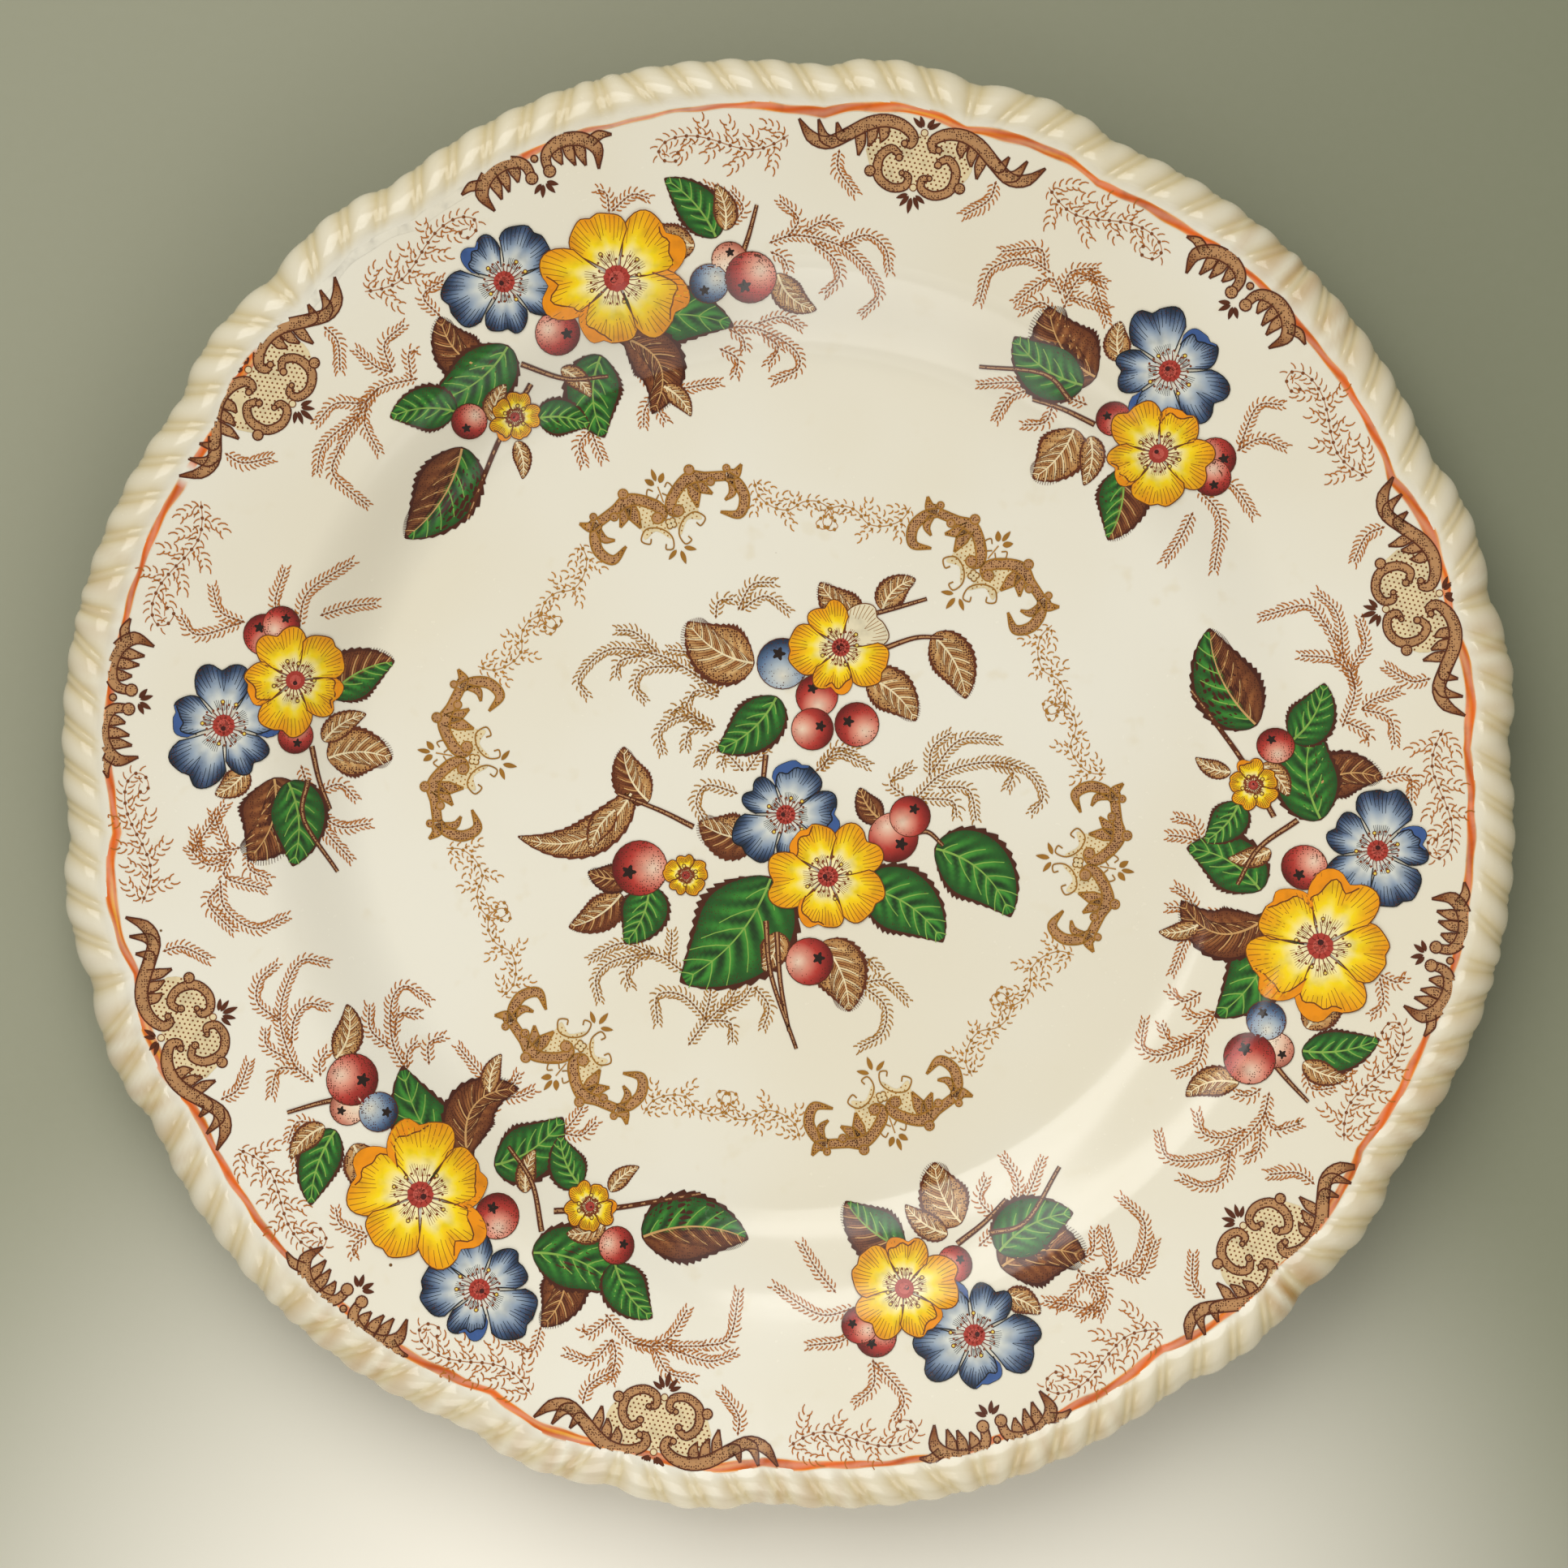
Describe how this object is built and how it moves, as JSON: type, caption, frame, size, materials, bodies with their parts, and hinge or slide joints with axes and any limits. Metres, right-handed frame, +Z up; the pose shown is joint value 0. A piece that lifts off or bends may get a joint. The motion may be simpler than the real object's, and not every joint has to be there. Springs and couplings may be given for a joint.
{
  "type": "dinner plate",
  "caption": "Round china dinner plate with a scalloped gadrooned edge, a flat well, a foot ring and printed flower decoration.",
  "frame": {"origin": "centre of the plate on the plane that the foot ring rests on", "axes": "+Z up out of the well, along the plate's axis; +X and +Y across the plate, a cusp of the scalloped edge lies 15.4 degrees from +X towards +Y"},
  "size_m": [0.26, 0.2598, 0.0236],
  "materials": {
    "glazed_earthenware": "glossy cream glaze over an off-white body, with amber staining in the ribs",
    "orange_enamel": "glossy hand-painted overglaze enamel, uneven in strength",
    "brown_print": "fine stippled transfer print under a gloss glaze",
    "flower_print": "brown transfer print filled with hand-painted yellow, green, blue and red enamels"
  },
  "bodies": {
    "root": {"plate_body": "glazed_earthenware", "enamel_line": "orange_enamel", "border_print": "brown_print", "wreath_print": "brown_print", "centre_print": "flower_print", "spray_large_1": "flower_print", "spray_large_2": "flower_print", "spray_large_3": "flower_print", "spray_small_1": "flower_print", "spray_small_2": "flower_print", "spray_small_3": "flower_print"}
  },
  "joints": []
}
